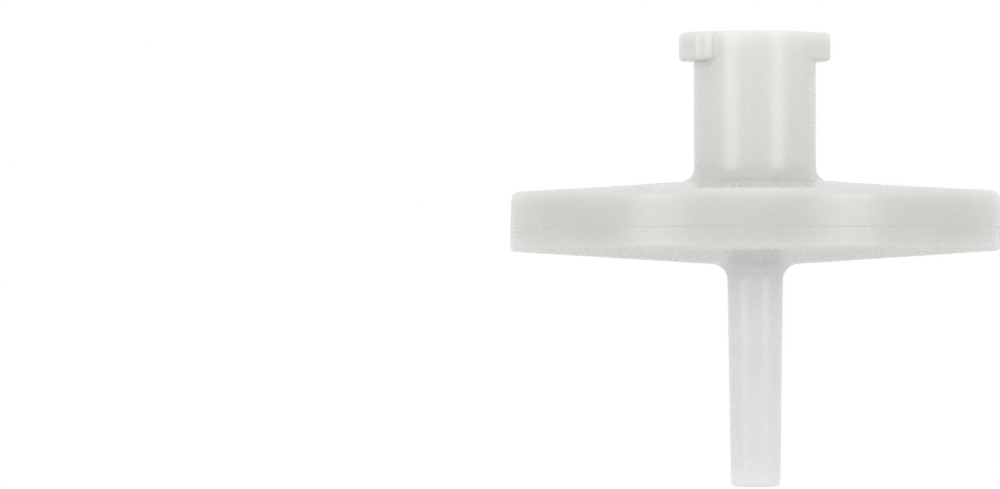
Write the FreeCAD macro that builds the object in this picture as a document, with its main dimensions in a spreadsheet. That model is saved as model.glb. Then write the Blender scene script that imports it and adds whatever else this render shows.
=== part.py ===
import FreeCAD, Part

import math
import os
import re

import Sketcher

# A disc syringe filter: two polypropylene mouldings welded round a clamped membrane.
# Z is the flow axis, with the inlet up. The origin is the centre of the inlet's mouth, so everything
# lies below it and heights are given as depths under the mouth. The lugs lie along X.

# Driving sizes: millimetres, degrees, and counts where the name says so.
SIZES = {
    # luer-lock inlet
    "socket_mouth_diameter": 4.3,
    "socket_taper_percent": 6,
    "socket_depth": 7.3,
    "mouth_chamfer": 0.12,
    "hub_diameter": 6.28,
    "hub_root_length": 0.3,
    "hub_root_fillet": 0.65,
    "feed_hole_diameter": 1.8,
    "feed_flare": 0.4,
    # the two lugs of the lock
    "lug_count": 2,
    "lug_diameter": 7.8,
    "lug_width": 3.08,
    "lug_depth": 1.45,
    "lug_trailing_angle": 23.4,
    "lug_flank_angle": 30,
    "lug_edge_chamfer": 0.2,
    # disc and skirt of the inlet shell
    "inner_cone_angle": 4.0,
    "outer_cone_angle": 3.1,
    "outer_cone_width": 5.0,
    "rim_top_chamfer": 0.25,
    "cover_wall": 1.22,
    "skirt_height": 1.89,
    "skirt_wall": 0.9,
    "skirt_draft_angle": 2.0,
    # weld between the shells
    "tongue_width": 1.45,
    "tongue_height": 0.9,
    "weld_gap": 0.05,
    "land_width": 0.55,
    # membrane and its seat
    "membrane_diameter": 19.0,
    "membrane_thickness": 0.15,
    "membrane_clearance": 0.1,
    "clamp_width": 0.75,
    # ribs that spread the flow
    "sector_count": 8,
    "sector_phase": 8.5,
    "sector_gap": 0.75,
    "rib_width": 0.6,
    "rib_pitch": 1.2,
    "rib_height": 0.35,
    "rib_wall_gap": 0.3,
    "rib_clearance": 0.05,
    "rib_free_diameter": 8.0,
    # ridges and channels that drain it
    "channel_width": 0.8,
    "channel_pitch": 2.3,
    "channel_depth": 0.35,
    "spoke_count": 4,
    "spoke_width": 0.8,
    "drain_diameter": 2.6,
    "drain_cone_depth": 0.55,
    # outlet shell
    "lower_rim_height": 1.15,
    "rim_bottom_chamfer": 0.2,
    "lower_cone_angle": 3.65,
    "spout_root_diameter": 2.89,
    "spout_tip_diameter": 2.54,
    "spout_length": 11.4,
    "spout_root_fillet": 0.75,
    "spout_tip_chamfer": 0.18,
    "spout_bore_diameter": 1.1,
}

# Radii and depths that follow from the driving sizes, in the order in which they build on each other.
LEVELS = {
    "socket_mouth_radius": "socket_mouth_diameter / 2",
    "socket_slope": "socket_taper_percent / 200",
    "socket_chamfer_radius": "socket_mouth_radius - mouth_chamfer * socket_slope",
    "socket_floor_radius": "socket_mouth_radius - socket_depth * socket_slope",
    "feed_hole_radius": "feed_hole_diameter / 2",
    "hub_radius": "hub_diameter / 2",
    "hub_length": "socket_depth + hub_root_length",
    "lug_radius": "lug_diameter / 2",
    "lug_root_radius": "(socket_mouth_radius + hub_radius) / 2",
    "membrane_radius": "membrane_diameter / 2",
    "pocket_radius": "membrane_radius + membrane_clearance",
    "chamber_radius": "membrane_radius - clamp_width",
    "groove_inner_radius": "pocket_radius + land_width",
    "tongue_inner_radius": "groove_inner_radius + weld_gap",
    "tongue_outer_radius": "tongue_inner_radius + tongue_width",
    "skirt_inner_radius": "tongue_outer_radius + weld_gap",
    "rim_radius": "skirt_inner_radius + skirt_wall",
    "rim_top_radius": "rim_radius - skirt_height * tan(skirt_draft_angle)",
    "cone_break_radius": "rim_top_radius - outer_cone_width",
    "cone_break_level": "hub_length + (cone_break_radius - hub_radius) * tan(inner_cone_angle)",
    "rim_top_level": "cone_break_level + outer_cone_width * tan(outer_cone_angle)",
    "ceiling_level": "rim_top_level + cover_wall",
    "rib_tip_level": "ceiling_level + rib_height",
    "membrane_top_level": "rib_tip_level + rib_clearance",
    "support_level": "membrane_top_level + membrane_thickness",
    "seam_level": "rim_top_level + skirt_height",
    "tongue_top_level": "seam_level - tongue_height",
    "groove_top_level": "tongue_top_level - weld_gap",
    "rim_bottom_level": "seam_level + lower_rim_height",
    "rib_outer_radius": "chamber_radius - rib_wall_gap",
    "rib_free_radius": "rib_free_diameter / 2",
    "spout_root_radius": "spout_root_diameter / 2",
    "spout_tip_radius": "spout_tip_diameter / 2",
    "spout_bore_radius": "spout_bore_diameter / 2",
    "spout_root_level": "rim_bottom_level + (rim_radius - spout_root_radius) * tan(lower_cone_angle)",
    "spout_tip_level": "spout_root_level + spout_length",
    "drain_radius": "drain_diameter / 2",
    "drain_level": "support_level + channel_depth",
    "bore_top_level": "drain_level + drain_cone_depth",
}

NAMED = set(SIZES) | set(LEVELS)
ORIGIN = (-1, 1)  # a sketch's own origin, as a constraint names it
HORIZONTAL_AXIS = -1
VERTICAL_AXIS = -2
NEAR = 1e-4  # how close an edge must be to the place it is looked for


def size_sheet(doc):
    sheet = doc.addObject("Spreadsheet::Sheet", "Sizes")
    cells = [(alias, str(number)) for alias, number in SIZES.items()]
    cells += [(alias, "=" + formula) for alias, formula in LEVELS.items()]
    for row, (alias, content) in enumerate(cells, 1):
        sheet.set("A%d" % row, alias)
        sheet.set("B%d" % row, content)
        sheet.setAlias("B%d" % row, alias)
    doc.recompute()
    return sheet


def in_sizes(formula):
    """The formula with each alias named in full, as an expression outside the sheet needs it."""
    return re.sub("[a-z_]+", lambda word: ("Sizes." if word[0] in NAMED else "") + word[0], formula)


def value(doc, formula):
    result = doc.Sizes.evalExpression(in_sizes(formula))
    return getattr(result, "Value", result)


def origin_item(body, role):
    return next(item for item in body.Origin.OriginFeatures if item.Role == role)


def new_body(doc, name):
    body = doc.addObject("PartDesign::Body", name)
    body.Label = name
    return body


def new_sketch(body, name, plane, depth="0", turn="0"):
    """A sketch on one of the body's planes, lowered by depth (on XY) or turned about the flow axis."""
    sketch = body.newObject("Sketcher::SketchObject", name)
    sketch.AttachmentSupport = [(origin_item(body, plane), "")]
    sketch.MapMode = "FlatFace"
    if turn != "0":
        flow_axis = FreeCAD.Vector(0, 0, 1) if plane == "XY_Plane" else FreeCAD.Vector(0, 1, 0)
        turned = FreeCAD.Rotation(flow_axis, value(body.Document, turn))
        sketch.AttachmentOffset = FreeCAD.Placement(FreeCAD.Vector(), turned)
        sketch.setExpression("AttachmentOffset.Rotation.Angle", in_sizes(turn))
    if depth != "0":
        sketch.setExpression("AttachmentOffset.Base.z", in_sizes("0 - (%s)" % depth))
    return sketch


def bind(sketch, index, name, formula):
    sketch.renameConstraint(index, name)
    sketch.setExpression("Constraints." + name, in_sizes(formula))


def place_point(sketch, element, end, name, across, along):
    """Fix a point of a sketch: across from the vertical axis, along up from the horizontal one."""
    doc = sketch.Document
    for formula, kind, axis, word in (
        (across, "DistanceX", VERTICAL_AXIS, "_across"),
        (along, "DistanceY", HORIZONTAL_AXIS, "_along"),
    ):
        if formula == "0":
            sketch.addConstraint(Sketcher.Constraint("PointOnObject", element, end, axis))
        else:
            number = value(doc, formula)
            made = sketch.addConstraint(Sketcher.Constraint(kind, *ORIGIN, element, end, number))
            bind(sketch, made, name + word, formula)


def profile(sketch, corners):
    """A closed outline with a straight line from each corner to the next.

    A corner is its name, its radius from the flow axis, its depth under the mouth and, where it is
    rounded, the radius of its arc. A rounded corner keeps its sharp point as a construction point.
    """
    doc = sketch.Document
    names = [corner[0] for corner in corners]
    places = [(corner[1], corner[2]) for corner in corners]
    rounds = [corner[3] if len(corner) > 3 else None for corner in corners]
    points = [FreeCAD.Vector(value(doc, radius), -value(doc, depth), 0) for radius, depth in places]
    count = len(corners)
    starts, ends = [], []
    for index, (point, rounding) in enumerate(zip(points, rounds)):
        before = (points[index - 1] - point).normalize()
        after = (points[(index + 1) % count] - point).normalize()
        cut = value(doc, rounding) / math.tan(before.getAngle(after) / 2) if rounding else 0
        ends.append(point + before * cut)
        starts.append(point + after * cut)
    for index in range(count):
        sketch.addGeometry(Part.LineSegment(starts[index], ends[(index + 1) % count]), False)
    for index, (name, (radius, depth), rounding) in enumerate(zip(names, places, rounds)):
        line_in = (index - 1) % count
        along = depth if depth == "0" else "0 - (%s)" % depth
        if rounding:
            corner = sketch.addGeometry(Part.Point(points[index]), True)
            sketch.addConstraint(Sketcher.Constraint("PointOnObject", corner, 1, line_in))
            sketch.addConstraint(Sketcher.Constraint("PointOnObject", corner, 1, index))
            place_point(sketch, corner, 1, name, radius, along)
            round_corner(sketch, name, line_in, index, points[index], ends[index], starts[index], rounding)
        else:
            sketch.addConstraint(Sketcher.Constraint("Coincident", line_in, 2, index, 1))
            place_point(sketch, index, 1, name, radius, along)


def round_corner(sketch, name, line_in, line_out, corner, arc_start, arc_end, rounding):
    """An arc tangent to the two lines that meet at a corner."""
    size = value(sketch.Document, rounding)
    half_turn = (arc_start - corner).getAngle(arc_end - corner) / 2
    inward = ((arc_start + arc_end) / 2 - corner).normalize()
    halfway = corner + inward * (size / math.sin(half_turn) - size)
    arc = sketch.addGeometry(Part.Arc(arc_start, halfway, arc_end), False)
    turns_left = (corner - arc_start).cross(arc_end - corner).z > 0
    first, last = (1, 2) if turns_left else (2, 1)
    sketch.addConstraint(Sketcher.Constraint("Tangent", line_in, 2, arc, first))
    sketch.addConstraint(Sketcher.Constraint("Tangent", line_out, 1, arc, last))
    bind(sketch, sketch.addConstraint(Sketcher.Constraint("Radius", arc, size)), name + "_round", rounding)


def revolve(body, name, corners):
    sketch = new_sketch(body, name + "Profile", "XZ_Plane")
    profile(sketch, corners)
    turned = body.newObject("PartDesign::Revolution", name)
    turned.Profile = sketch
    turned.ReferenceAxis = (sketch, ["V_Axis"])
    turned.Angle = 360
    body.Tip = turned
    body.Document.recompute()
    return turned


def extrude(body, name, kind, sketch, length, reverse):
    """A Pad or Pocket of a sketch."""
    made = body.newObject("PartDesign::" + kind, name)
    made.Profile = sketch
    made.Type = "Length"
    made.Length = value(body.Document, length)
    made.setExpression("Length", in_sizes(length))
    made.Reversed = reverse
    body.Tip = made
    body.Document.recompute()
    return made


def round_about(body, count, feature=None):
    """Repeat one feature, or the whole shape so far, count times in a full turn about the flow axis."""
    pattern = body.newObject("PartDesign::PolarPattern", (feature or body.Tip).Name + "Around")
    if feature:
        pattern.Originals = [feature]
    else:
        pattern.TransformMode = "Whole shape"
    pattern.Axis = (origin_item(body, "Z_Axis"), [""])
    pattern.Angle = 360
    pattern.setExpression("Occurrences", in_sizes(count))
    body.Tip = pattern
    body.Document.recompute()
    return pattern


def round_edges(feature, radius, depth):
    """The names of the edges that are whole circles of this radius at this depth."""
    doc = feature.Document
    centre = FreeCAD.Vector(0, 0, -value(doc, depth))
    size = value(doc, radius)
    names = []
    for number, edge in enumerate(feature.Shape.Edges, 1):
        if isinstance(edge.Curve, Part.Circle) and edge.Curve.Center.isEqual(centre, NEAR):
            if abs(edge.Curve.Radius - size) < NEAR:
                names.append("Edge%d" % number)
    return names


def chamfer(body, name, edges, size):
    base = body.Tip
    cut = body.newObject("PartDesign::Chamfer", name)
    cut.Base = (base, edges)
    cut.Size = value(body.Document, size)
    cut.setExpression("Size", in_sizes(size))
    body.Tip = cut
    body.Document.recompute()


def lug_plan(sketch):
    """The outline of one lug from above: a square leading side, and a trailing flank that slopes away."""
    doc = sketch.Document
    outer = value(doc, "lug_radius")
    root = value(doc, "lug_root_radius")
    half = value(doc, "lug_width / 2")
    heel_angle = -math.radians(value(doc, "lug_trailing_angle"))
    flank = math.radians(value(doc, "lug_flank_angle"))
    reach = outer * math.sin(flank - heel_angle)
    foot_angle = flank - math.pi / 2

    def at(radius, angle):
        return FreeCAD.Vector(radius * math.cos(angle), radius * math.sin(angle), 0)

    def circle(radius):
        return Part.Circle(FreeCAD.Vector(), FreeCAD.Vector(0, 0, 1), radius)

    outer_lead = math.asin(half / outer)
    root_lead = math.asin(half / root)
    outer_arc = sketch.addGeometry(Part.ArcOfCircle(circle(outer), heel_angle, outer_lead), False)
    root_arc = sketch.addGeometry(Part.ArcOfCircle(circle(root), foot_angle, root_lead), False)
    lead_side = sketch.addGeometry(Part.LineSegment(at(outer, outer_lead), at(root, root_lead)), False)
    flank_side = sketch.addGeometry(Part.LineSegment(at(outer, heel_angle), at(reach, foot_angle)), False)
    foot_side = sketch.addGeometry(Part.LineSegment(at(reach, foot_angle), at(root, foot_angle)), False)
    for first, first_end, second, second_end in (
        (outer_arc, 2, lead_side, 1),
        (lead_side, 2, root_arc, 2),
        (outer_arc, 1, flank_side, 1),
        (flank_side, 2, foot_side, 1),
        (foot_side, 2, root_arc, 1),
    ):
        sketch.addConstraint(Sketcher.Constraint("Coincident", first, first_end, second, second_end))
    for arc, name in ((outer_arc, "lug_radius"), (root_arc, "lug_root_radius")):
        sketch.addConstraint(Sketcher.Constraint("Coincident", arc, 3, *ORIGIN))
        made = sketch.addConstraint(Sketcher.Constraint("Radius", arc, value(doc, name)))
        bind(sketch, made, name, name)
    sketch.addConstraint(Sketcher.Constraint("Horizontal", lead_side))
    made = sketch.addConstraint(Sketcher.Constraint("DistanceY", *ORIGIN, lead_side, 1, half))
    bind(sketch, made, "half_width", "lug_width / 2")
    heel_across = "lug_radius * cos(lug_trailing_angle)"
    made = sketch.addConstraint(Sketcher.Constraint("DistanceX", *ORIGIN, flank_side, 1, value(doc, heel_across)))
    bind(sketch, made, "heel", heel_across)
    reach_formula = "lug_radius * sin(lug_flank_angle + lug_trailing_angle)"
    foot_across = reach_formula + " * sin(lug_flank_angle)"
    foot_along = "0 - " + reach_formula + " * cos(lug_flank_angle)"
    place_point(sketch, flank_side, 2, "foot", foot_across, foot_along)
    inner_across = "lug_root_radius * sin(lug_flank_angle)"
    made = sketch.addConstraint(Sketcher.Constraint("DistanceX", *ORIGIN, foot_side, 2, value(doc, inner_across)))
    bind(sketch, made, "inner_foot", inner_across)


def outer_edges(feature, radius):
    """The names of the edges whose whole length lies this far from the flow axis."""
    wanted = value(feature.Document, radius)
    names = []
    for number, edge in enumerate(feature.Shape.Edges, 1):
        middle = edge.valueAt((edge.FirstParameter + edge.LastParameter) / 2)
        points = [vertex.Point for vertex in edge.Vertexes] + [middle]
        if all(abs(math.hypot(point.x, point.y) - wanted) < NEAR for point in points):
            names.append("Edge%d" % number)
    return names


def make_lugs(body):
    """The lugs: blocks of one plan, flush with the mouth, with the edges that face outwards eased."""
    plan = new_sketch(body, "LugPlan", "XY_Plane")
    lug_plan(plan)
    block = extrude(body, "LugBlock", "Pad", plan, "lug_depth", True)
    chamfer(body, "LugRim", outer_edges(block, "lug_radius"), "lug_edge_chamfer")
    round_about(body, "lug_count")


def inlet_shell(doc):
    body = new_body(doc, "inlet_shell")
    make_lugs(body)
    corners = [
        ("mouth_inner", "socket_mouth_radius + mouth_chamfer", "0"),
        ("mouth_outer", "hub_radius - mouth_chamfer", "0"),
        ("hub_top", "hub_radius", "mouth_chamfer"),
        ("hub_root", "hub_radius", "hub_length", "hub_root_fillet"),
        ("cone_break", "cone_break_radius", "cone_break_level"),
        ("rim_top", "rim_top_radius", "rim_top_level"),
        ("rim_foot", "rim_radius", "seam_level"),
        ("seam_inner", "skirt_inner_radius", "seam_level"),
        ("groove_outer", "skirt_inner_radius", "groove_top_level"),
        ("groove_inner", "groove_inner_radius", "groove_top_level"),
        ("land_outer", "groove_inner_radius", "support_level"),
        ("land_inner", "pocket_radius", "support_level"),
        ("pocket_edge", "pocket_radius", "membrane_top_level"),
        ("clamp_edge", "chamber_radius", "membrane_top_level"),
        ("chamber_edge", "chamber_radius", "ceiling_level"),
        ("feed_flare", "feed_hole_radius + feed_flare", "ceiling_level"),
        ("feed_throat", "feed_hole_radius", "ceiling_level - feed_flare"),
        ("feed_top", "feed_hole_radius", "socket_depth"),
        ("socket_floor", "socket_floor_radius", "socket_depth"),
        ("socket_top", "socket_chamfer_radius", "mouth_chamfer"),
    ]
    revolve(body, "CoverShell", corners)
    rim_top = round_edges(body.Tip, "rim_top_radius", "rim_top_level")
    chamfer(body, "RimTopEdge", rim_top, "rim_top_chamfer")
    rings = new_sketch(body, "RibRings", "XY_Plane", "ceiling_level")
    concentric_rings(rings, "rib", "rib_outer_radius", "rib_free_radius")
    extrude(body, "Ribs", "Pad", rings, "rib_height", True)
    gap = new_sketch(body, "SectorGap", "XY_Plane", "rib_tip_level", "sector_phase")
    radial_slot(gap, "feed_hole_radius + feed_flare", "chamber_radius - rib_wall_gap / 2", "sector_gap")
    gaps = extrude(body, "SectorGaps", "Pocket", gap, "rib_height", True)
    round_about(body, "sector_count", gaps)
    return body


def filter_membrane(doc):
    body = new_body(doc, "filter_membrane")
    outline = new_sketch(body, "MembraneOutline", "XY_Plane", "membrane_top_level")
    ring(outline, "membrane_edge", "membrane_radius")
    extrude(body, "Membrane", "Pad", outline, "membrane_thickness", True)
    return body


def outlet_shell(doc):
    body = new_body(doc, "outlet_shell")
    corners = [
        ("bore_top", "spout_bore_radius", "bore_top_level"),
        ("drain_floor", "drain_radius", "drain_level"),
        ("drain_edge", "drain_radius", "support_level"),
        ("tongue_root", "tongue_inner_radius", "support_level"),
        ("tongue_inner", "tongue_inner_radius", "tongue_top_level"),
        ("tongue_outer", "tongue_outer_radius", "tongue_top_level"),
        ("seam_inner", "tongue_outer_radius", "seam_level"),
        ("rim_top", "rim_radius", "seam_level"),
        ("rim_bottom", "rim_radius", "rim_bottom_level"),
        ("spout_root", "spout_root_radius", "spout_root_level", "spout_root_fillet"),
        ("spout_tip", "spout_tip_radius", "spout_tip_level"),
        ("bore_tip", "spout_bore_radius", "spout_tip_level"),
    ]
    revolve(body, "BaseShell", corners)
    rim_bottom = round_edges(body.Tip, "rim_radius", "rim_bottom_level")
    chamfer(body, "RimBottomEdge", rim_bottom, "rim_bottom_chamfer")
    spout_tip = round_edges(body.Tip, "spout_tip_radius", "spout_tip_level")
    chamfer(body, "SpoutTipEdge", spout_tip, "spout_tip_chamfer")
    rings = new_sketch(body, "ChannelRings", "XY_Plane", "support_level")
    concentric_rings(rings, "channel", "chamber_radius", "drain_radius")
    extrude(body, "RingChannels", "Pocket", rings, "channel_depth", False)
    spoke = new_sketch(body, "DrainSpoke", "XY_Plane", "support_level", "sector_phase")
    radial_slot(spoke, "spout_bore_radius", "chamber_radius - channel_width / 2", "spoke_width")
    spokes = extrude(body, "DrainSpokes", "Pocket", spoke, "channel_depth", False)
    round_about(body, "spoke_count", spokes)
    return body


def ring(sketch, name, radius):
    """A circle about the flow axis."""
    size = value(sketch.Document, radius)
    made = sketch.addGeometry(Part.Circle(FreeCAD.Vector(), FreeCAD.Vector(0, 0, 1), size), False)
    sketch.addConstraint(Sketcher.Constraint("Coincident", made, 3, *ORIGIN))
    bind(sketch, sketch.addConstraint(Sketcher.Constraint("Radius", made, size)), name, radius)


def concentric_rings(sketch, kind, outermost, innermost):
    """As many rings of one kind as fit between two radii, each with the kind's own width and pitch."""
    doc = sketch.Document
    room = value(doc, "%s - %s - %s_width" % (outermost, innermost, kind))
    for number in range(1 + int(room // value(doc, kind + "_pitch"))):
        outer = "%s - %s_pitch * %d" % (outermost, kind, number)
        ring(sketch, "outer%d" % number, outer)
        ring(sketch, "inner%d" % number, "%s - %s_width" % (outer, kind))


def radial_slot(sketch, start, end, width):
    """A straight slot that runs out along the sketch's X, between two radii."""
    corners = [
        ("inner_left", start, "0 - %s / 2" % width),
        ("inner_right", start, width + " / 2"),
        ("outer_right", end, width + " / 2"),
        ("outer_left", end, "0 - %s / 2" % width),
    ]
    profile(sketch, corners)


def check(doc, bodies):
    failed = [item.Name for item in doc.Objects if {"Invalid", "Error"} & set(item.State)]
    for body in bodies:
        shape = body.Shape
        if shape.isNull() or not shape.isValid() or len(shape.Solids) != 1:
            failed.append(body.Label)
    if failed:
        raise RuntimeError("failed: " + ", ".join(failed))


def main():
    doc = FreeCAD.newDocument("SyringeFilter")
    size_sheet(doc)
    bodies = [inlet_shell(doc), filter_membrane(doc), outlet_shell(doc)]
    doc.recompute()
    check(doc, bodies)
    os.makedirs("parts", exist_ok=True)
    for body in bodies:
        body.Shape.exportStep("parts/%s.step" % body.Label)
        print("%-16s %8.2f mm3, %d faces" % (body.Label, body.Shape.Volume, len(body.Shape.Faces)))


main()
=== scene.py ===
import math

import bpy
from bpy.props import FloatProperty, FloatVectorProperty, IntProperty, PointerProperty
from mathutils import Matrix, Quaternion, Vector


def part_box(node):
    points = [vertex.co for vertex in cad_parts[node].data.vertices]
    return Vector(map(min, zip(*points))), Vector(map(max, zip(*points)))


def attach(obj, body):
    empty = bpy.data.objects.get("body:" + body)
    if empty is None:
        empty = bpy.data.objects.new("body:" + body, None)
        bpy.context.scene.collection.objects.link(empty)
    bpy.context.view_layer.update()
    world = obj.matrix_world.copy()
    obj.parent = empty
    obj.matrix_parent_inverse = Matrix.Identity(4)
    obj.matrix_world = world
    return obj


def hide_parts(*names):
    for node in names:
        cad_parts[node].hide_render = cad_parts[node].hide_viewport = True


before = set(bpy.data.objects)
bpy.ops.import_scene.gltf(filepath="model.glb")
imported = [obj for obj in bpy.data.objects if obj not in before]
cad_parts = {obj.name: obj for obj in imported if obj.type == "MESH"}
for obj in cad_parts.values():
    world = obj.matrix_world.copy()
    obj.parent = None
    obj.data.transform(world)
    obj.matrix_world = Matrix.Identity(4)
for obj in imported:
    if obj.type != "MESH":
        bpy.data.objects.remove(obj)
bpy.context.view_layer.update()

bl_info = {
    "name": "Syringe Filter",
    "version": (1, 0, 0),
    "blender": (4, 5, 0),
    "location": "View3D > Sidebar > Syringe Filter",
    "description": "Moulded shells, sealed membrane and studio stage of a disc syringe filter",
    "category": "Add Mesh",
}

COVER_LOW, COVER_HIGH = (Vector(corner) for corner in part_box("inlet_shell"))
BASE_LOW = Vector(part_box("outlet_shell")[0])
DISC_LOW, DISC_HIGH = (Vector(corner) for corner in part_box("filter_membrane"))

MM = 0.001
AXIS = Vector((0, 0, 1))
HERE = Vector((0, 0, 0))
WELD = 1e-7  # points closer than this are one point
NEAR = 1e-6  # how close a point must be to a place where it is looked for
SAME_BEARING = 1e-4
FULL_TURN = 2 * math.pi
SHELL_STEPS = 180
LUG_STEPS = 12
RIB_STEPS = 10
FILLET_STEPS = 12  # in the roundings at the roots of the hub and the spout
RIM_STEPS = 8
EDGE_STEPS = 6
LUG_EDGE_STEPS = 5
MOUTH_STEPS = 4
BORE_STEPS = 3
RIB_END = 0.48  # rounding of each corner of a rib's end, as a part of the rib's width
SMOOTH_ANGLE = math.radians(32)
NOISE_RANGE = (0.3, 0.7)  # where nearly all of a noise's values lie
PAINTED_LIGHT_TO_SHADE = (1.4 * MM, 4.5 * MM)  # where the painted light of the thin spout and hub gives way to the painted shade of the thick disc, as distances from the flow axis
CLOUDS = (0.98, 1.02)  # slow changes of the plastic's tone
SATIN = (0.22, 0.3)  # roughness of the plastic's skin
RIB_BLUR = 0.12 * MM
PORES = (0.95, 1.03)  # tone in and between the membrane's pores
FLOOR_SIZE = 0.6
LAMP_SPREAD = math.radians(30)
SENSOR_WIDTH = 36
CLIP_START, CLIP_END = 0.01, 20


def length(name, default, description=""):
    return FloatProperty(name=name, description=description or name, default=default * MM, unit="LENGTH")


def angle(name, default, description=""):
    turn = math.radians(default)
    return FloatProperty(name=name, description=description or name, default=turn, subtype="ANGLE")


# ---------------------------------------------------------------- sizes


class CoverSizes(bpy.types.PropertyGroup):
    """The inlet shell: a luer hub with two lugs, a shallow cone and a skirt."""

    socket_width: length("Socket width", 4.3, "Width of the tapered socket at its mouth")
    socket_depth: length("Socket depth", 7.3)
    socket_slope: FloatProperty(name="Socket slope", description="Narrowing of the radius", default=0.03)
    mouth_round: length("Mouth rounding", 0.12)
    hub_width: length("Hub width", 6.28)
    hub_root_round: length("Hub root rounding", 0.65)
    feed_width: length("Feed hole width", 1.8)
    feed_flare: length("Feed hole flare", 0.4)
    inner_slope: angle("Inner cone", 4.0, "Fall of the cover near the hub")
    outer_slope: angle("Outer cone", 3.1, "Fall of the cover near the rim")
    outer_run: length("Outer cone width", 5.0)
    bend_round: length("Rounding between the cones", 0.6)
    rim_round: length("Rim rounding", 0.34)
    skirt_draft: angle("Skirt draft", 2.0)
    skirt_height: length("Skirt height", 1.89)
    wall: length("Cover wall", 1.22)
    chamber_width: length("Chamber width", 17.5)
    pocket_width: length("Membrane pocket width", 19.2)
    weld_line: length("Weld line", 0.02, "Depth of the fine line where the shells are welded")


class LugSizes(bpy.types.PropertyGroup):
    """The two lugs that lock in a threaded collar."""

    span: length("Span over the lugs", 7.8)
    width: length("Lug width", 3.08)
    depth: length("Lug depth", 1.45)
    trailing: angle("Trailing end", 23.4, "From the middle of the lug back to its sloping flank")
    flank: angle("Flank slope", 30.0)
    corner_round: length("Corner rounding", 0.45, "Rounding of a lug's outer corners, seen from above")
    root_round: length("Root rounding", 0.35, "Rounding where the leading side meets the hub")
    edge_round: length("Edge rounding", 0.22, "Rounding of a lug's upper and lower edges")


class RibSizes(bpy.types.PropertyGroup):
    """The arc ribs under the cover, in sectors round the feed hole."""

    sectors: IntProperty(name="Sectors", description="Sectors of ribs", default=8)
    phase: angle("Phase", 8.5, "Turn of the first gap from the lugs")
    gap: length("Gap between sectors", 0.75)
    width: length("Rib width", 0.6)
    pitch: length("Rib pitch", 1.2)
    height: length("Rib height", 0.35)
    outermost: length("Radius of the outermost rib", 8.15)
    rings: IntProperty(name="Rings", description="Ribs in a sector", default=4)


class BaseSizes(bpy.types.PropertyGroup):
    """The outlet shell: a shallow cone under the disc and a slim spout."""

    rim_height: length("Lower rim height", 1.15)
    rim_round: length("Lower rim rounding", 0.25)
    spout_root: length("Spout width at its root", 2.89)
    spout_tip: length("Spout width at its tip", 2.54)
    spout_length: length("Spout length", 11.4)
    root_round: length("Spout root rounding", 0.75)
    tip_round: length("Spout tip rounding", 0.26)
    bore: length("Bore width", 1.1)
    channel_width: length("Drain channel width", 0.8)
    channel_pitch: length("Drain channel pitch", 2.3)
    channel_depth: length("Drain channel depth", 0.35)
    channels: IntProperty(name="Drain channels", description="Ring channels", default=3)
    drain_width: length("Drain width", 2.6)
    drain_cone: length("Drain cone depth", 0.55)
    spokes: IntProperty(name="Spokes", description="Radial channels", default=4)
    spoke_width: length("Spoke width", 0.8)


class FinishColours(bpy.types.PropertyGroup):
    """Colours of the plastic, the membrane and the stage. The plastic's lighter thin walls, deeper disc and
    lighter tone over the ribs are painted light and shade.
    """

    # Painted light: the lighter tone of the slim spout and hub stands for light that passes through their
    # thin walls.
    thin_wall_painted_light: FloatVectorProperty(
        name="Thin walls",
        description="Milky tint of the slim spout",
        default=(0.745, 0.745, 0.728),
        subtype="COLOR",
    )
    # Painted shade: the deeper tone of the disc stands for the shade inside its thick body and closed
    # chamber.
    thick_wall_painted_shade: FloatVectorProperty(
        name="Thick walls",
        description="Milky tint of the disc",
        default=(0.595, 0.595, 0.577),
        subtype="COLOR",
    )
    membrane: FloatVectorProperty(
        name="Membrane", description="Porous white film", default=(0.86, 0.86, 0.85), subtype="COLOR"
    )
    # Painted light: a lighter tone over the ribs under the cover, standing for light scattered through the
    # milky lid where the ribs lie.
    rib_painted_light: FloatProperty(
        name="Rib shade", description="Lighter tone over the ribs under the cover", default=0.06
    )
    floor: FloatVectorProperty(
        name="Floor", description="Pale studio floor", default=(0.82, 0.82, 0.82), subtype="COLOR"
    )


class StageSettings(bpy.types.PropertyGroup):
    """Camera, lamps and floor."""

    azimuth: angle("Camera azimuth", -110.0, "Where the camera stands round the flow axis")
    distance: length("Camera distance", 270.0)
    eye: length("Camera height", -12.9, "Height of the eye from the inlet's mouth")
    aim_across: length("Aim across", -13.15, "Where the camera looks, to the right of the flow axis")
    aim_height: length("Aim height", -10.85)
    roll: angle("Camera roll", -0.12)
    scale: FloatProperty(name="Lens", description="Focal length in millimetres", default=188.6)
    sky: FloatProperty(name="Sky", description="Strength of the surrounding light", default=0.88)
    side_light: FloatProperty(name="Side lamps", description="Strength of each side lamp", default=0.19)
    top_light: FloatProperty(name="Top lamp", description="Strength of the overhead lamp", default=0.04)
    top_height: angle("Top lamp height", 75.0, "Height angle of the overhead lamp")
    left_lamp: angle("Left lamp", 46.0, "Turn of the left lamp from the camera, round the flow axis")
    right_lamp: angle("Right lamp", 44.0, "Turn of the right lamp from the camera, round the flow axis")
    lamp_height: angle("Lamp height", 3.0, "Height angle of the side lamps")
    floor_glow: FloatProperty(
        name="Floor glow", description="Light that the floor adds to its own", default=0.1
    )
    floor_gap: length("Floor gap", 30.0, "Clear height under the spout")


# ---------------------------------------------------------------- making meshes by hand


def deselect():
    if bpy.context.object and bpy.context.object.mode != "OBJECT":
        bpy.ops.object.mode_set(mode="OBJECT")
    bpy.ops.object.select_all(action="DESELECT")


def work_on(piece):
    """Select one piece alone and make it the active one."""
    deselect()
    piece.select_set(True)
    bpy.context.view_layer.objects.active = piece


def edit(piece):
    work_on(piece)
    bpy.ops.object.mode_set(mode="EDIT")
    bpy.ops.mesh.select_mode(type="VERT")
    bpy.ops.mesh.select_all(action="DESELECT")


def finish_edit():
    bpy.ops.object.mode_set(mode="OBJECT")


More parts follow.
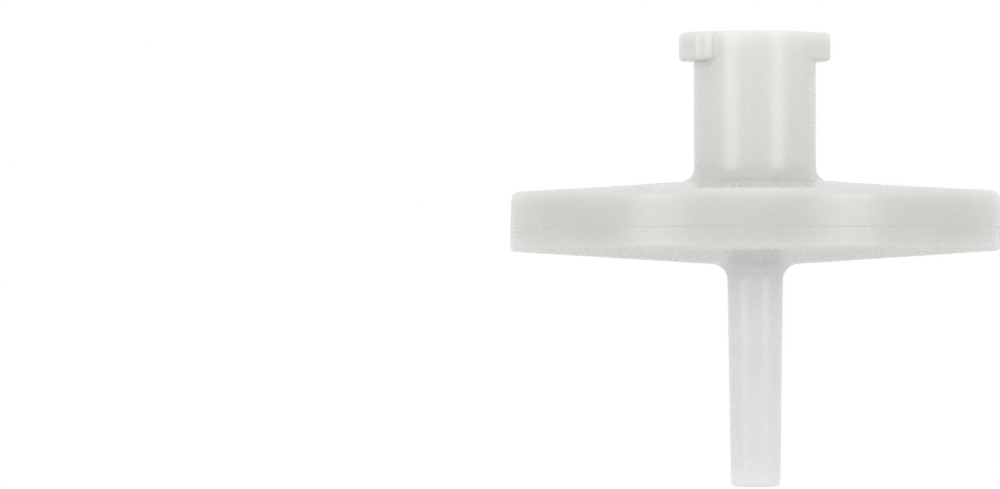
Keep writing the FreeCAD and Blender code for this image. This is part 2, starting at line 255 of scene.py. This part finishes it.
def choose(piece, kind, test):
    """Select the points, edges or faces of a piece that pass a test; edit mode is left and entered again."""
    bpy.ops.mesh.select_mode(type=kind)
    bpy.ops.mesh.select_all(action="DESELECT")
    bpy.ops.object.mode_set(mode="OBJECT")
    parts = {"VERT": piece.data.vertices, "EDGE": piece.data.edges, "FACE": piece.data.polygons}[kind]
    chosen = 0
    for part in parts:
        part.select = bool(test(part))
        chosen += part.select
    bpy.ops.object.mode_set(mode="EDIT")
    if not chosen:
        raise RuntimeError("nothing chosen on " + piece.name)


def round_edges(size, steps):
    """Round the chosen edges."""
    bpy.ops.mesh.bevel(offset=size, segments=steps, affect="EDGES", clamp_overlap=False)


def outline(name, corners, roundings=()):
    """A closed outline drawn on the XZ plane corner by corner, with some of its corners rounded."""
    deselect()
    first = Vector((corners[0][0], 0, corners[0][1]))
    bpy.ops.mesh.primitive_plane_add(size=MM, location=first)
    piece = bpy.context.object
    piece.name = piece.data.name = name
    bpy.ops.object.transform_apply(location=True, rotation=False, scale=False)
    edit(piece)
    bpy.ops.mesh.select_all(action="SELECT")
    bpy.ops.mesh.merge(type="CENTER")
    for (x0, z0), (x1, z1) in zip(corners, corners[1:]):
        step = {"value": (x1 - x0, 0, z1 - z0)}
        bpy.ops.mesh.extrude_region_move(TRANSFORM_OT_translate=step)
    bpy.ops.mesh.select_all(action="SELECT")
    bpy.ops.mesh.edge_face_add()
    for (x, z), size, steps in roundings:
        place = Vector((x, 0, z))
        choose(piece, "VERT", lambda point: (point.co - place).length < NEAR)
        bpy.ops.mesh.bevel(offset=size, segments=steps, affect="VERTICES", clamp_overlap=False)
    finish_edit()
    return piece


def clean(piece):
    """Merge doubles, take out slivers and point every face outwards."""
    edit(piece)
    bpy.ops.mesh.select_all(action="SELECT")
    bpy.ops.mesh.remove_doubles(threshold=WELD)
    bpy.ops.mesh.dissolve_degenerate(threshold=WELD)
    bpy.ops.mesh.normals_make_consistent(inside=False)
    finish_edit()


def open_outline(piece):
    """Take the face out of an outline and leave its edges."""
    edit(piece)
    bpy.ops.mesh.select_all(action="SELECT")
    bpy.ops.mesh.delete(type="ONLY_FACE")
    finish_edit()


def spin(piece, steps=SHELL_STEPS):
    """Turn an outline once about the flow axis into a closed solid."""
    open_outline(piece)
    edit(piece)
    bpy.ops.mesh.select_all(action="SELECT")
    bpy.ops.mesh.spin(steps=steps, angle=FULL_TURN, use_auto_merge=False, center=HERE, axis=AXIS)
    finish_edit()
    clean(piece)


def turn(piece, x=0.0, z=0.0):
    piece.rotation_euler = (x, 0, z)
    work_on(piece)
    bpy.ops.object.transform_apply(location=False, rotation=True, scale=False)


def sweep(piece, start, turned, steps):
    """Carry a section part of the way round the flow axis and close its ends."""
    open_outline(piece)
    turn(piece, z=start)
    screw = piece.modifiers.new("sweep", "SCREW")
    screw.angle = turned
    screw.steps = screw.render_steps = steps
    bpy.ops.object.modifier_apply(modifier=screw.name)
    edit(piece)
    bpy.ops.mesh.select_all(action="SELECT")
    bpy.ops.mesh.fill_holes(sides=0)
    finish_edit()
    clean(piece)


def join(pieces):
    deselect()
    for piece in pieces:
        piece.select_set(True)
    bpy.context.view_layer.objects.active = pieces[0]
    bpy.ops.object.join()
    return pieces[0]


def ring_of(piece, count):
    """The piece and its copies, evenly round the flow axis, joined in one object."""
    row = [piece]
    for number in range(1, count):
        copy = piece.copy()
        copy.data = piece.data.copy()
        bpy.context.collection.objects.link(copy)
        turn(copy, z=FULL_TURN * number / count)
        row.append(copy)
    return join(row)


def smooth(piece):
    """Shade smooth, with the sharp edges kept."""
    work_on(piece)
    bpy.ops.object.shade_smooth_by_angle(angle=SMOOTH_ANGLE)


def combine(piece, other, operation):
    """Join another closed solid to a piece, or cut it away; the other one is used up."""
    work_on(piece)
    step = piece.modifiers.new("combine", "BOOLEAN")
    step.operation = operation
    step.solver = "MANIFOLD"
    step.object = other
    bpy.ops.object.modifier_apply(modifier=step.name)
    bpy.data.objects.remove(other, do_unlink=True)


# ---------------------------------------------------------------- materials


def add_node(tree, kind, values=(), **settings):
    made = tree.nodes.new(kind)
    for name, setting in settings.items():
        setattr(made, name, setting)
    for socket, content in dict(values).items():
        made.inputs[socket].default_value = content
    return made


def noise(tree, place, scale, detail, roughness=0.5):
    """Noise in the piece's own coordinates; scale is features per millimetre."""
    values = {"Scale": scale / MM, "Detail": detail, "Roughness": roughness}
    made = add_node(tree, "ShaderNodeTexNoise", values)
    tree.links.new(place.outputs["Object"], made.inputs["Vector"])
    return made.outputs["Fac"]


def compute(tree, operation, *signals):
    """One step of arithmetic on signals and plain numbers."""
    made = add_node(tree, "ShaderNodeMath", operation=operation)
    for socket, signal in zip(made.inputs, signals):
        if isinstance(signal, float):
            socket.default_value = signal
        else:
            tree.links.new(signal, socket)
    return made.outputs["Value"]


def slope(tree, signal, start, end, low=0.0, high=1.0):
    """Low before the start and high past the end, with a straight slope between."""
    values = {"From Min": start, "From Max": end, "To Min": low, "To Max": high}
    made = add_node(tree, "ShaderNodeMapRange", values)
    tree.links.new(signal, made.inputs["Value"])
    return made.outputs["Result"]


def new_material(name):
    made = bpy.data.materials.new(name)
    made.use_nodes = True
    made.node_tree.nodes.clear()
    return made, made.node_tree


def painted_rib_light_mask(tree, point, radius, ribs, level):
    """1 where a rib lies under the cover's upper face and 0 elsewhere, with soft edges; it places the
    painted light over the ribs.
    """
    x, y, z = point
    blur, half = RIB_BLUR, ribs.width / 2
    innermost = ribs.outermost - (ribs.rings - 1) * ribs.pitch
    beside = compute(tree, "PINGPONG", compute(tree, "SUBTRACT", radius, ribs.outermost), ribs.pitch / 2)
    bearing = compute(tree, "SUBTRACT", compute(tree, "ARCTAN2", y, x), ribs.phase)
    along = compute(tree, "MULTIPLY", compute(tree, "PINGPONG", bearing, math.pi / ribs.sectors), radius)
    mask = slope(tree, beside, half + blur, half - blur)
    for limit in (
        slope(tree, along, ribs.gap / 2 - blur, ribs.gap / 2 + blur),
        slope(tree, radius, innermost - half - blur, innermost - half + blur),
        slope(tree, radius, ribs.outermost + half + blur, ribs.outermost + half - blur),
        slope(tree, z, level - blur, level),
    ):
        mask = compute(tree, "MINIMUM", mask, limit)
    return mask


def milky_polypropylene(colours, ribs, level):
    """Milky, slightly clouded plastic with a satin skin, with painted light on the thin spout and hub,
    painted shade deeper in the disc, and painted light where the ribs show faintly.
    """
    made, tree = new_material("milky_polypropylene")
    out = add_node(tree, "ShaderNodeOutputMaterial")
    place = add_node(tree, "ShaderNodeTexCoord")
    values = {
        "IOR": 1.49,
        "Subsurface Weight": 1.0,
        "Subsurface Scale": 2.0 * MM,
        "Subsurface Radius": (1.0, 1.0, 0.9),
    }
    shader = add_node(tree, "ShaderNodeBsdfPrincipled", values)
    split = add_node(tree, "ShaderNodeSeparateXYZ")
    tree.links.new(place.outputs["Object"], split.inputs[0])
    point = split.outputs
    squares = [compute(tree, "MULTIPLY", part, part) for part in point[:2]]
    radius = compute(tree, "SQRT", compute(tree, "ADD", *squares))
    # Painted light and shade: the tone runs from the lit thin walls near the flow axis to the shaded thick
    # disc.
    tone = add_node(tree, "ShaderNodeMix", data_type="RGBA")
    for socket, colour in (("A", colours.thin_wall_painted_light), ("B", colours.thick_wall_painted_shade)):
        tone.inputs[socket].default_value = (*colour, 1)
    tree.links.new(slope(tree, radius, *PAINTED_LIGHT_TO_SHADE), tone.inputs["Factor"])
    cloud = slope(tree, noise(tree, place, scale=0.35, detail=3), *NOISE_RANGE, *CLOUDS)
    # Painted light over the ribs under the cover, added to the scale of the base colour.
    painted_rib_light = compute(tree, "MULTIPLY", painted_rib_light_mask(tree, point, radius, ribs, level), colours.rib_painted_light)
    tint = add_node(tree, "ShaderNodeVectorMath", operation="SCALE")
    tree.links.new(tone.outputs["Result"], tint.inputs[0])
    tree.links.new(compute(tree, "ADD", cloud, painted_rib_light), tint.inputs["Scale"])
    tree.links.new(tint.outputs["Vector"], shader.inputs["Base Color"])
    grain = noise(tree, place, scale=9, detail=3, roughness=0.6)
    tree.links.new(slope(tree, grain, *NOISE_RANGE, *SATIN), shader.inputs["Roughness"])
    bump = add_node(tree, "ShaderNodeBump", {"Strength": 0.25, "Distance": 0.004 * MM})
    tree.links.new(grain, bump.inputs["Height"])
    tree.links.new(bump.outputs["Normal"], shader.inputs["Normal"])
    tree.links.new(shader.outputs["BSDF"], out.inputs["Surface"])
    return made


def porous_membrane(colours):
    """Matt white film with fine pores."""
    made, tree = new_material("porous_membrane")
    out = add_node(tree, "ShaderNodeOutputMaterial")
    place = add_node(tree, "ShaderNodeTexCoord")
    shader = add_node(tree, "ShaderNodeBsdfPrincipled", {"Roughness": 0.85, "Specular IOR Level": 0.3})
    pores = noise(tree, place, scale=14, detail=4, roughness=0.65)
    tint = add_node(tree, "ShaderNodeMix", data_type="RGBA")
    for socket, share in zip("AB", PORES):
        tint.inputs[socket].default_value = (*(Vector(colours.membrane) * share), 1)
    tree.links.new(slope(tree, pores, *NOISE_RANGE), tint.inputs["Factor"])
    tree.links.new(tint.outputs["Result"], shader.inputs["Base Color"])
    bump = add_node(tree, "ShaderNodeBump", {"Strength": 0.4, "Distance": 0.01 * MM})
    tree.links.new(pores, bump.inputs["Height"])
    tree.links.new(bump.outputs["Normal"], shader.inputs["Normal"])
    tree.links.new(shader.outputs["BSDF"], out.inputs["Surface"])
    return made


def give(piece, material):
    piece.data.materials.clear()
    piece.data.materials.append(material)


# ---------------------------------------------------------------- the pieces


def welded_shells(cover, base):
    """The turned body of both shells, as the weld leaves them, from the hub to the spout, inside and out."""
    rim, seam, tip = COVER_HIGH.x, COVER_LOW.z, BASE_LOW.z
    support, seat = DISC_LOW.z, DISC_HIGH.z
    mouth, hub = cover.socket_width / 2, cover.hub_width / 2
    rim_top = seam + cover.skirt_height
    shoulder = rim - cover.skirt_height * math.tan(cover.skirt_draft)
    bend = shoulder - cover.outer_run
    bend_level = rim_top + cover.outer_run * math.tan(cover.outer_slope)
    hub_foot = bend_level + (bend - hub) * math.tan(cover.inner_slope)
    ceiling, floor = rim_top - cover.wall, -cover.socket_depth
    pocket, chamber, feed = cover.pocket_width / 2, cover.chamber_width / 2, cover.feed_width / 2
    rim_bottom = seam - base.rim_height
    bore, drain = base.bore / 2, base.drain_width / 2
    channel_floor = support - base.channel_depth
    channels = []
    for number in reversed(range(base.channels)):
        outer = chamber - number * base.channel_pitch
        inner = outer - base.channel_width
        channels += [(inner, support), (inner, channel_floor), (outer, channel_floor), (outer, support)]
    rounded = [
        ((mouth, 0), cover.mouth_round, MOUTH_STEPS),
        ((hub, 0), cover.mouth_round, MOUTH_STEPS),
        ((hub, hub_foot), cover.hub_root_round, FILLET_STEPS),
        ((bend, bend_level), cover.bend_round, EDGE_STEPS),
        ((shoulder, rim_top), cover.rim_round, RIM_STEPS),
        ((rim, rim_bottom), base.rim_round, RIM_STEPS),
        ((base.spout_root / 2, tip + base.spout_length), base.root_round, FILLET_STEPS),
        ((base.spout_tip / 2, tip), base.tip_round, EDGE_STEPS),
        ((bore, tip), base.tip_round / 2, BORE_STEPS),
    ]
    places = [place for place, size, steps in rounded]
    corners = [
        *places[:5],
        (rim, seam + cover.weld_line),
        (rim - cover.weld_line, seam),
        (rim, seam - cover.weld_line),
        *places[5:],
        (bore, channel_floor - base.drain_cone),
        (drain, channel_floor),
        (drain, support),
        *channels,
        (pocket, support),
        (pocket, seat),
        (chamber, seat),
        (chamber, ceiling),
        (feed + cover.feed_flare, ceiling),
        (feed, ceiling + cover.feed_flare),
        (feed, floor),
        (mouth + floor * cover.socket_slope, floor),
    ]
    shells = outline("welded_shells", corners, rounded)
    spin(shells)
    return shells


def arc_points(radius, start, end, centre=(0, 0)):
    """Points between two bearings round a centre, without the first and the last."""
    bearings = (start + (end - start) * step / LUG_STEPS for step in range(1, LUG_STEPS))
    return [(centre[0] + radius * math.cos(turn), centre[1] + radius * math.sin(turn)) for turn in bearings]


def moulded_lug(sizes, inner, hub):
    """One lug: round rim, square leading side and sloping trailing flank, with its outer edges rounded."""
    rim, half = sizes.span / 2, sizes.width / 2
    leading = math.asin(half / rim)
    out, up = hub + sizes.root_round, half + sizes.root_round
    root_centre = (math.sqrt(out**2 - up**2), up)
    root_bearing = math.asin(up / out)
    foot_bearing = sizes.flank - math.pi / 2
    reach = rim * math.sin(sizes.flank + sizes.trailing)
    heel = (rim * math.cos(sizes.trailing), -rim * math.sin(sizes.trailing))
    corner = (rim * math.cos(leading), half)
    plan = [
        (reach * math.cos(foot_bearing), reach * math.sin(foot_bearing)),
        heel,
        *arc_points(rim, -sizes.trailing, leading),
        corner,
        (root_centre[0], half),
        *arc_points(sizes.root_round, -math.pi / 2, root_bearing - math.pi, root_centre),
        (hub * math.cos(root_bearing), hub * math.sin(root_bearing)),
        (inner * math.cos(root_bearing), inner * math.sin(root_bearing)),
        *arc_points(inner, root_bearing, foot_bearing),
        (inner * math.cos(foot_bearing), inner * math.sin(foot_bearing)),
    ]
    roundings = [(heel, sizes.corner_round, LUG_EDGE_STEPS), (corner, sizes.corner_round, EDGE_STEPS)]
    lug = outline("lug", plan, roundings)
    turn(lug, x=-math.pi / 2)
    edit(lug)
    bpy.ops.mesh.select_all(action="SELECT")
    bpy.ops.mesh.extrude_region_move(TRANSFORM_OT_translate={"value": (0, 0, -sizes.depth)})
    finish_edit()
    points = lug.data.vertices

    def is_outer_edge(edge):
        ends = [points[end].co for end in edge.vertices]
        return abs(ends[0].z - ends[1].z) < NEAR and any(point.xy.length > hub + NEAR for point in ends)

    edit(lug)
    choose(lug, "EDGE", is_outer_edge)
    round_edges(sizes.edge_round, LUG_EDGE_STEPS)
    finish_edit()
    clean(lug)
    return lug


def arc_ribs(sizes, ceiling):
    """One sector's ribs: arcs about the flow axis with round ends, hanging from the ceiling."""
    ribs = []
    for number in range(sizes.rings):
        middle = sizes.outermost - number * sizes.pitch
        reach = math.pi / sizes.sectors - math.asin(sizes.gap / 2 / middle)
        near, far = middle - sizes.width / 2, middle + sizes.width / 2
        top, tip = ceiling + sizes.height / 4, ceiling - sizes.height
        rib = outline("rib", [(near, top), (far, top), (far, tip), (near, tip)])
        sweep(rib, -reach, 2 * reach, RIB_STEPS)
        points = rib.data.vertices

        def is_end_corner(edge):
            first, second = (points[end].co for end in edge.vertices)
            at_end = abs(abs(math.atan2(first.y, first.x)) - reach) < SAME_BEARING
            return at_end and (first.xy - second.xy).length < NEAR

        edit(rib)
        choose(rib, "EDGE", is_end_corner)
        round_edges(sizes.width * RIB_END, EDGE_STEPS)
        finish_edit()
        ribs.append(rib)
    sector = join(ribs)
    turn(sector, z=sizes.phase + math.pi / sizes.sectors)
    return sector


def drain_spoke(sizes, cover):
    """One radial channel, as a block to cut away."""
    floor, top = DISC_LOW.z - sizes.channel_depth, DISC_LOW.z + sizes.channel_depth
    inner, outer = sizes.bore / 2, (cover.chamber_width - sizes.channel_width) / 2
    deselect()
    bpy.ops.mesh.primitive_cube_add(size=1, location=((inner + outer) / 2, 0, (floor + top) / 2))
    block = bpy.context.object
    block.scale = (outer - inner, sizes.spoke_width, top - floor)
    bpy.ops.object.transform_apply(location=True, rotation=False, scale=True)
    return block


class FILTER_OT_shells(bpy.types.Operator):
    """Make the two welded shells with their lugs, ribs and drain channels"""

    bl_idname = "syringe_filter.shells"
    bl_label = "Welded Shells"

    def execute(self, context):
        scene = context.scene
        cover, lugs, ribs, base = scene.filter_cover, scene.filter_lugs, scene.filter_ribs, scene.filter_base
        shells = welded_shells(cover, base)
        inner = (cover.socket_width + cover.hub_width) / 4
        combine(shells, ring_of(moulded_lug(lugs, inner, cover.hub_width / 2), 2), "UNION")
        ceiling = COVER_LOW.z + cover.skirt_height - cover.wall
        combine(shells, ring_of(arc_ribs(ribs, ceiling), ribs.sectors), "UNION")
        spokes = ring_of(drain_spoke(base, cover), base.spokes)
        turn(spokes, z=ribs.phase)
        combine(shells, spokes, "DIFFERENCE")
        clean(shells)
        smooth(shells)
        give(shells, milky_polypropylene(scene.filter_colours, ribs, COVER_LOW.z + cover.skirt_height))
        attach(shells, "root")
        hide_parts("inlet_shell", "outlet_shell")
        return {"FINISHED"}


class FILTER_OT_membrane(bpy.types.Operator):
    """Give the sealed membrane its porous white film"""

    bl_idname = "syringe_filter.membrane"
    bl_label = "Membrane"

    def execute(self, context):
        give(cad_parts["filter_membrane"], porous_membrane(context.scene.filter_colours))
        return {"FINISHED"}


# ---------------------------------------------------------------- the stage


def soft_lamp(name, bearing, height, strength):
    """A large, even, distant lamp that shines on the filter from a bearing and a height angle."""
    data = bpy.data.lights.new(name, "SUN")
    data.angle = LAMP_SPREAD
    data.energy = strength * math.pi
    made = bpy.data.objects.new(name, data)
    bpy.context.collection.objects.link(made)
    place = around(bearing, math.cos(height), math.sin(height))
    made.location = place
    made.rotation_euler = (-place).to_track_quat("-Z", "Y").to_euler()


def around(azimuth, distance, height):
    return Vector((math.cos(azimuth) * distance, math.sin(azimuth) * distance, height))


def seen_directly(tree):
    """1 for camera, gloss and transmission rays, which see white surroundings; 0 for their light."""
    path = add_node(tree, "ShaderNodeLightPath")
    total = path.outputs["Is Camera Ray"]
    for kind in ("Is Glossy Ray", "Is Transmission Ray"):
        larger = add_node(tree, "ShaderNodeMath", operation="MAXIMUM")
        tree.links.new(total, larger.inputs[0])
        tree.links.new(path.outputs[kind], larger.inputs[1])
        total = larger.outputs["Value"]
    return total


def white_surroundings(settings):
    world = bpy.context.scene.world or bpy.data.worlds.new("studio")
    bpy.context.scene.world = world
    world.use_nodes = True
    tree = world.node_tree
    tree.nodes.clear()
    out = add_node(tree, "ShaderNodeOutputWorld")
    light = add_node(tree, "ShaderNodeBackground", {"Color": (1, 1, 1, 1)})
    strength = add_node(tree, "ShaderNodeMix", {"A": settings.sky, "B": 1.0})
    tree.links.new(seen_directly(tree), strength.inputs["Factor"])
    tree.links.new(strength.outputs["Result"], light.inputs["Strength"])
    tree.links.new(light.outputs["Background"], out.inputs["Surface"])


def floor_material(colour, glow):
    """Pale floor that looks white where it is lit and keeps the shadow of what stands over it."""
    made, tree = new_material("studio_floor")
    out = add_node(tree, "ShaderNodeOutputMaterial")
    matt = add_node(tree, "ShaderNodeBsdfDiffuse", {"Color": (*colour, 1)})
    shine = add_node(tree, "ShaderNodeEmission", {"Color": (1, 1, 1, 1)})
    lift = add_node(tree, "ShaderNodeMath", operation="MULTIPLY")
    lift.inputs[1].default_value = glow
    tree.links.new(seen_directly(tree), lift.inputs[0])
    tree.links.new(lift.outputs["Value"], shine.inputs["Strength"])
    both = add_node(tree, "ShaderNodeAddShader")
    tree.links.new(matt.outputs["BSDF"], both.inputs[0])
    tree.links.new(shine.outputs["Emission"], both.inputs[1])
    tree.links.new(both.outputs["Shader"], out.inputs["Surface"])
    return made


class FILTER_OT_stage(bpy.types.Operator):
    """Set up the floor, the lamps and the camera"""

    bl_idname = "syringe_filter.stage"
    bl_label = "Stage"

    def execute(self, context):
        scene = context.scene
        settings = scene.filter_stage
        deselect()
        bpy.ops.mesh.primitive_plane_add(size=FLOOR_SIZE, location=(0, 0, BASE_LOW.z - settings.floor_gap))
        floor = context.object
        floor.name = "floor"
        bpy.ops.object.transform_apply(location=True)
        give(floor, floor_material(scene.filter_colours.floor, settings.floor_glow))
        white_surroundings(settings)
        for name, side in (("lamp_left", -settings.left_lamp), ("lamp_right", settings.right_lamp)):
            soft_lamp(name, settings.azimuth + side, settings.lamp_height, settings.side_light)
        soft_lamp("lamp_top", settings.azimuth, settings.top_height, settings.top_light)
        self.camera(scene, settings)
        return {"FINISHED"}

    def camera(self, scene, settings):
        data = bpy.data.cameras.new("camera")
        data.sensor_width = SENSOR_WIDTH
        data.lens = settings.scale
        data.clip_start = CLIP_START
        data.clip_end = CLIP_END
        made = bpy.data.objects.new("camera", data)
        scene.collection.objects.link(made)
        made.location = around(settings.azimuth, settings.distance, settings.eye)
        aim = around(settings.azimuth + math.pi / 2, settings.aim_across, settings.aim_height)
        view = (aim - made.location).to_track_quat("-Z", "Y")
        made.rotation_mode = "QUATERNION"
        made.rotation_quaternion = view @ Quaternion(AXIS, settings.roll)
        scene.camera = made
        scene.view_settings.view_transform = "Standard"


# ---------------------------------------------------------------- panel and registration


class FILTER_PT_panel(bpy.types.Panel):
    """Buttons that make the filter, piece by piece"""

    bl_idname = "FILTER_PT_panel"
    bl_label = "Syringe Filter"
    bl_space_type = "VIEW_3D"
    bl_region_type = "UI"
    bl_category = "Syringe Filter"

    def draw(self, context):
        for operator in OPERATORS:
            self.layout.operator(operator.bl_idname)
        for group in GROUPS:
            box = self.layout.box()
            box.label(text=group)
            sizes = getattr(context.scene, group)
            for name in sizes.__annotations__:
                box.prop(sizes, name)


GROUPS = {
    "filter_cover": CoverSizes,
    "filter_lugs": LugSizes,
    "filter_ribs": RibSizes,
    "filter_base": BaseSizes,
    "filter_colours": FinishColours,
    "filter_stage": StageSettings,
}
OPERATORS = (FILTER_OT_shells, FILTER_OT_membrane, FILTER_OT_stage)


def register():
    for cls in (*GROUPS.values(), *OPERATORS, FILTER_PT_panel):
        bpy.utils.register_class(cls)
    for name, cls in GROUPS.items():
        setattr(bpy.types.Scene, name, PointerProperty(type=cls))


def unregister():
    for name in GROUPS:
        delattr(bpy.types.Scene, name)
    for cls in reversed((*GROUPS.values(), *OPERATORS, FILTER_PT_panel)):
        bpy.utils.unregister_class(cls)


def main():
    register()
    bpy.ops.syringe_filter.shells()
    bpy.ops.syringe_filter.membrane()
    bpy.ops.syringe_filter.stage()


if __name__ == "__main__":
    main()
